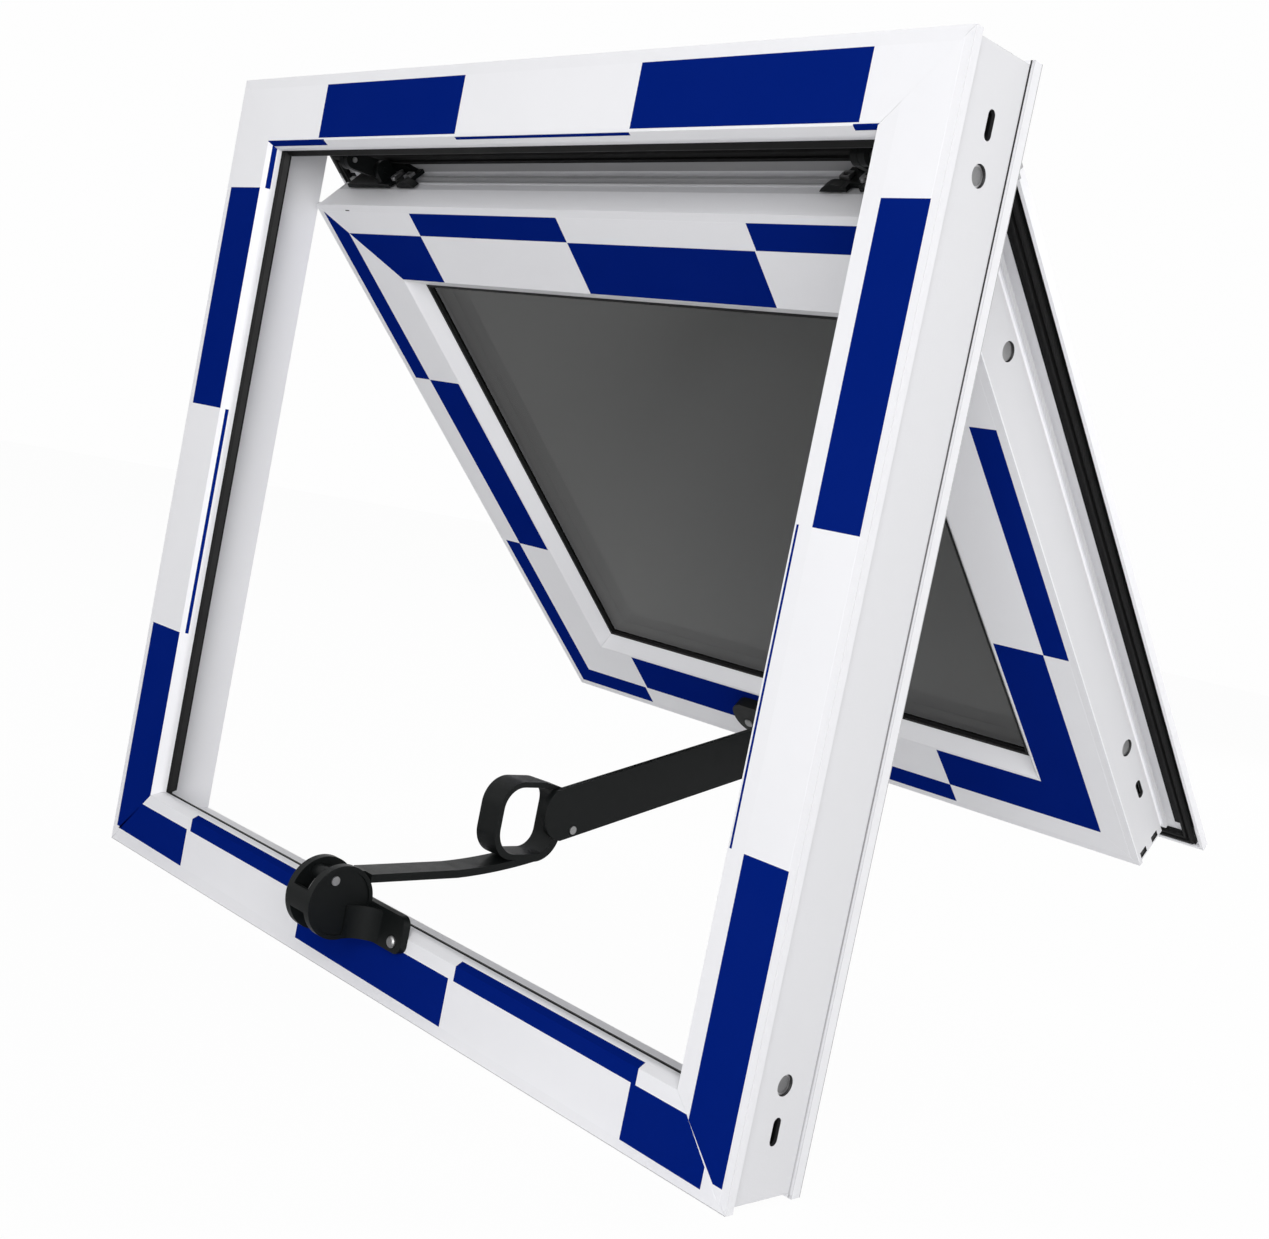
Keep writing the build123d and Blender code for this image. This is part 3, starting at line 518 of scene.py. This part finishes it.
def lay(name, bm, side, on_sash, slot, *materials):
    bmesh.ops.transform(bm, matrix=bar_place(side, on_sash) @ Matrix.Scale(MM, 4), verts=bm.verts)
    finished(name, mesh_from(name, bm), slot, *materials)


def lay_seal(name, side, on_sash, face, thickness, material):
    # A plain strip as wide as its face.
    length = bar_length(side, on_sash)
    low, high = face[0][0], face[-1][0]
    bm = bent_strip(low, high, (), False, (-length, length), length, face, thickness, SEAL_HALF_GAP)
    lay(f"{name}_{side}", bm, side, on_sash, "seal_rubber", material)


# Rows of the film: lowest and highest inset from the outer edge, whether the first block is blue, where
# the print changes along the bar, in millimetres from the window's middle line or its top edge, and
# for a short strip where it starts and stops.

FRAME_ROWS = {
    "top": [(6.3, 38.2, False, (-184, -50, 88.5, 230)),
            (39.1, 41.7, True, (), -280, -178),
            (39.8, 40.8, True, (), -50, 88),
            (38.9, 41.0, True, (), 227, 280)],
    "bottom": [(6.8, 31.8, False, (-274, -190, -57.6, 78, 213, 264)),
               (31.8, 41.9, False, (-186, -60, 82, 216))],
    "left": [(4.5, 39.4, False, (68.3, 208, 353, 490)),
             (41.2, 42.7, True, (), 0, 68),
             (41.3, 42.4, True, (), 208, 353)],
    "right": [(4.5, 30.0, False, (70, 209, 351, 490)),
              (37.4, 38.6, True, (), 209, 351)],
}
SASH_ROWS = {
    "top": [(5.0, 20.7, False, (-148.5, -12, 130)), (21.0, 54.3, True, (-148.5, -12, 129))],
    "bottom": [(5.0, 20.7, True, (-162, -22, 118)), (21.0, 53.0, False, (-160, -22, 118))],
    "left": [(5.0, 20.7, True, (137, 285)), (21.0, 53.0, False, (137, 285))],
    "right": [(5.0, 20.7, False, (116, 270)), (21.0, 53.0, False, (270,))],
}


def along_bar(side, first_blue, places, height):
    # Turns places seen from the room into places along the bar's own X.
    if side == "bottom":
        return first_blue, sorted(places)
    if side == "left":
        return first_blue, sorted(place - height / 2 for place in places)
    turned_blue = first_blue != (len(places) % 2 == 1)
    start = 0.0 if side == "top" else height / 2
    return turned_blue, sorted(start - place for place in places)


def lay_rows(name, table, on_sash):
    white, blue = bpy.data.materials["film white"], bpy.data.materials["film blue"]
    face = SASH_FACE if on_sash else FRAME_FACE
    slot = "sash_coat" if on_sash else "frame_coat"
    thickness = settings("film").thickness / MM
    height = bar_length("left", on_sash)
    for side, rows in table.items():
        length = bar_length(side, on_sash)
        for index, (low, high, first_blue, edges, *span) in enumerate(rows):
            first, places = along_bar(side, first_blue, edges, height)
            ends = along_bar(side, first_blue, span, height)[1] or (-length, length)
            askew = side == "bottom" and index == 0 and not on_sash
            bm = bent_strip(low, high, places, first, ends, length, face, thickness, FILM_HALF_GAP,
                            tilt=SILL_FILM_TILT if askew else 0.0)
            lay(f"{name}_{side}_{index}", bm, side, on_sash, slot, white, blue)


# Operators

class WINDOW_OT_coat(bpy.types.Operator):
    """Paint the sections of frame and sash"""
    bl_idname = "window.coat"
    bl_label = "Powder coat"

    def execute(self, context):
        # Both white coats carry painted shade in their colour
        paint(FRAME_BARS, powder_coat("white coat with painted shade", shade_and_marks=frame_painted_shade))
        paint(SASH_BARS, powder_coat("white sash coat with painted shade and marks", shade_and_marks=sash_painted_shade_and_marks))
        beads = [f"glazing_bead_{side}" for side in SIDES]
        paint(beads, powder_coat("bead coat", roughness=0.33))
        return {"FINISHED"}


class WINDOW_OT_seals(bpy.types.Operator):
    """Give every seal its rubber"""
    bl_idname = "window.seals"
    bl_label = "Seals"

    def execute(self, context):
        black = rubber("seal rubber", 16)
        paint([f"frame_gasket_{side}" for side in SIDES], black)
        paint([f"sash_gasket_{side}" for side in SIDES], black)
        paint(["glazing_gasket_inner", "glazing_gasket_outer"], rubber("glazing rubber", 22))
        for side in ("left", "top", "right"):
            lay_seal("seal_lip", side, False, SEAL_LIP, SEAL_LIP_THICKNESS, black)
        for side in ("left", "right"):
            lay_seal("seal_base", side, True, SEAL_BASE, SEAL_BASE_THICKNESS, black)
        return {"FINISHED"}


class WINDOW_OT_glass(bpy.types.Operator):
    """Tint the panes and darken the spacer"""
    bl_idname = "window.glass"
    bl_label = "Glass"

    def execute(self, context):
        paint(["pane_inner", "pane_outer"], tinted_glass("tinted glass"))
        paint(["glass_spacer"], bare_metal("spacer metal", 60, 0.4))
        return {"FINISHED"}


class WINDOW_OT_hardware(bpy.types.Operator):
    """Finish the handle, the hinges, the cleats and their pins"""
    bl_idname = "window.hardware"
    bl_label = "Hardware"

    def execute(self, context):
        black = handle_coat("black coat")
        paint(["handle_housing", "link_arm", "support_arm", "sash_bracket"], black)
        steel = bare_metal("rivet steel", 160, 0.36)
        paint(["handle_drum", "handle_rivets", "handle_screws", "hinge_links", "hinge_rivets"], steel)
        hinge = handle_coat("hinge plastic")
        for side in ("left", "right"):
            paint([f"hinge_{part}_{side}" for part in ("plate", "arm", "bracket")], hinge)
        # The cleats are painted dark as shade, for the slots in the webs where they show
        cleat = bare_metal("cleat metal darkened as shade", 70, 0.4)
        for level in ("lower", "upper"):
            paint([f"corner_cleat_{level}_{side}" for side in ("left", "right")], cleat)
        paint(["sash_cleats"], cleat)
        paint(["cleat_pins"], pin_metal("pin metal"))
        return {"FINISHED"}


class WINDOW_OT_film(bpy.types.Operator):
    """Lay the printed protective film on the room faces"""
    bl_idname = "window.film"
    bl_label = "Protective film"

    def execute(self, context):
        chosen = settings("film")
        film("film white", list(chosen.white), roughness=0.30, gloss=0.4)
        film("film blue", list(chosen.blue), roughness=0.45, gloss=0.0)
        lay_rows("frame_film", FRAME_ROWS, False)
        lay_rows("sash_film", SASH_ROWS, True)
        return {"FINISHED"}


# Stage

SENSOR = 36.0
CAMERA_PLACE = Vector((0.6877, -0.560, 0.2872))
CAMERA_RIGHT = Vector((0.68609, 0.70038, 0.19684))
CAMERA_UP = Vector((-0.19132, -0.08734, 0.97763))
CAMERA_BACK = Vector((0.70191, -0.70841, 0.07407))

FLOOR_REACH = 6.0
FLOOR_GAP = 0.5 * MM
FLOOR_GLOW = 0.97
BACKDROP_WHITE = (0.99, 0.99, 0.99, 1.0)

# Name, place, aim, size and power of each lamp
LAMPS = (
    ("key", (2.0, -2.1, 0.9), (0, 0.1, 0.25), 2.4, 85.0),
    ("right fill", (2.0, 0.6, 0.6), (0, 0.1, 0.25), 1.4, 8.0),
    ("top", (-0.3, 0.2, 2.3), (0, 0.1, 0.2), 1.8, 8.0),
    ("back", (0.0, 2.4, 1.4), (0, 0.1, 0.25), 2.0, 26.0),
)


def backdrop_world(strength):
    # White to the camera, in reflections and through glass, and a plain even light to everything else.
    world = bpy.data.worlds.new("studio")
    bpy.context.scene.world = world
    shader = Shader(world, "ShaderNodeOutputWorld")
    seen = shader.rays("Camera", "Glossy", "Transmission")
    even = shader.node("ShaderNodeBackground", {}, {"Color": (1.0, 1.0, 1.0, 1.0), "Strength": strength})
    white = shader.node("ShaderNodeBackground", {}, {"Color": BACKDROP_WHITE})
    shader.finish(shader.node("ShaderNodeMixShader", {}, {0: seen, 1: even, 2: white}))


def floor_material():
    # A pale floor that goes almost white to the camera and keeps part of the shadow.
    material = bpy.data.materials.new("studio floor")
    shader = Shader(material, "ShaderNodeOutputMaterial")
    seen = shader.rays("Camera", "Transmission")
    matt = shader.node("ShaderNodeBsdfDiffuse", {}, {"Color": (0.85, 0.85, 0.85, 1.0)})
    glow = shader.node("ShaderNodeEmission", {}, {})
    shader.finish(shader.node("ShaderNodeMixShader", {}, {0: seen * FLOOR_GLOW, 1: matt, 2: glow}))
    return material


def area_light(name, place, target, size, power):
    data = bpy.data.lights.new(name, "AREA")
    data.shape = "SQUARE"
    data.size = size
    data.energy = power
    lamp = bpy.data.objects.new(name, data)
    bpy.context.scene.collection.objects.link(lamp)
    lamp.location = place
    lamp.rotation_euler = (Vector(target) - Vector(place)).to_track_quat("-Z", "Y").to_euler()


class WINDOW_OT_stage(bpy.types.Operator):
    """Set the floor, the lights and the camera"""
    bl_idname = "window.stage"
    bl_label = "Stage"

    def execute(self, context):
        chosen = settings("stage")
        context.scene.view_settings.view_transform = "Standard"
        backdrop_world(chosen.world)
        bm = bmesh.new()
        bmesh.ops.create_grid(bm, x_segments=1, y_segments=1, size=FLOOR_REACH)
        bmesh.ops.translate(bm, vec=(0, 0, cad_box[0][2] - FLOOR_GAP), verts=bm.verts)
        floor = bpy.data.objects.new("floor", mesh_from("floor", bm))
        context.scene.collection.objects.link(floor)
        floor.data.materials.append(floor_material())
        for lamp in LAMPS:
            area_light(*lamp)
        data = bpy.data.cameras.new("photograph")
        data.sensor_width = SENSOR
        data.lens = chosen.lens
        camera = bpy.data.objects.new("photograph", data)
        context.scene.collection.objects.link(camera)
        turn = Matrix((CAMERA_RIGHT, CAMERA_UP, CAMERA_BACK)).transposed().to_4x4()
        camera.matrix_world = Matrix.Translation(CAMERA_PLACE) @ turn
        context.scene.camera = camera
        return {"FINISHED"}


class WINDOW_PT_panel(bpy.types.Panel):
    bl_idname = "WINDOW_PT_panel"
    bl_label = "Window"
    bl_space_type = "VIEW_3D"
    bl_region_type = "UI"
    bl_category = "Window"

    def draw(self, context):
        for kind, group in GROUPS.items():
            for name in group.__annotations__:
                self.layout.prop(getattr(context.scene, kind), name)
        for step in STEPS:
            self.layout.operator(step.bl_idname)


GROUPS = {"coats": CoatSettings, "film": FilmSettings, "stage": StageSettings}
STEPS = (WINDOW_OT_coat, WINDOW_OT_seals, WINDOW_OT_glass, WINDOW_OT_hardware, WINDOW_OT_film,
         WINDOW_OT_stage)


def register():
    for kind in (*GROUPS.values(), *STEPS, WINDOW_PT_panel):
        bpy.utils.register_class(kind)
    for name, kind in GROUPS.items():
        setattr(bpy.types.Scene, name, bpy.props.PointerProperty(type=kind))


def unregister():
    for name in GROUPS:
        delattr(bpy.types.Scene, name)
    for kind in (WINDOW_PT_panel, *reversed(STEPS), *GROUPS.values()):
        bpy.utils.unregister_class(kind)


def main():
    register()
    bpy.ops.window.coat()
    bpy.ops.window.seals()
    bpy.ops.window.glass()
    bpy.ops.window.hardware()
    bpy.ops.window.film()
    bpy.ops.window.stage()


if __name__ == "__main__":
    main()
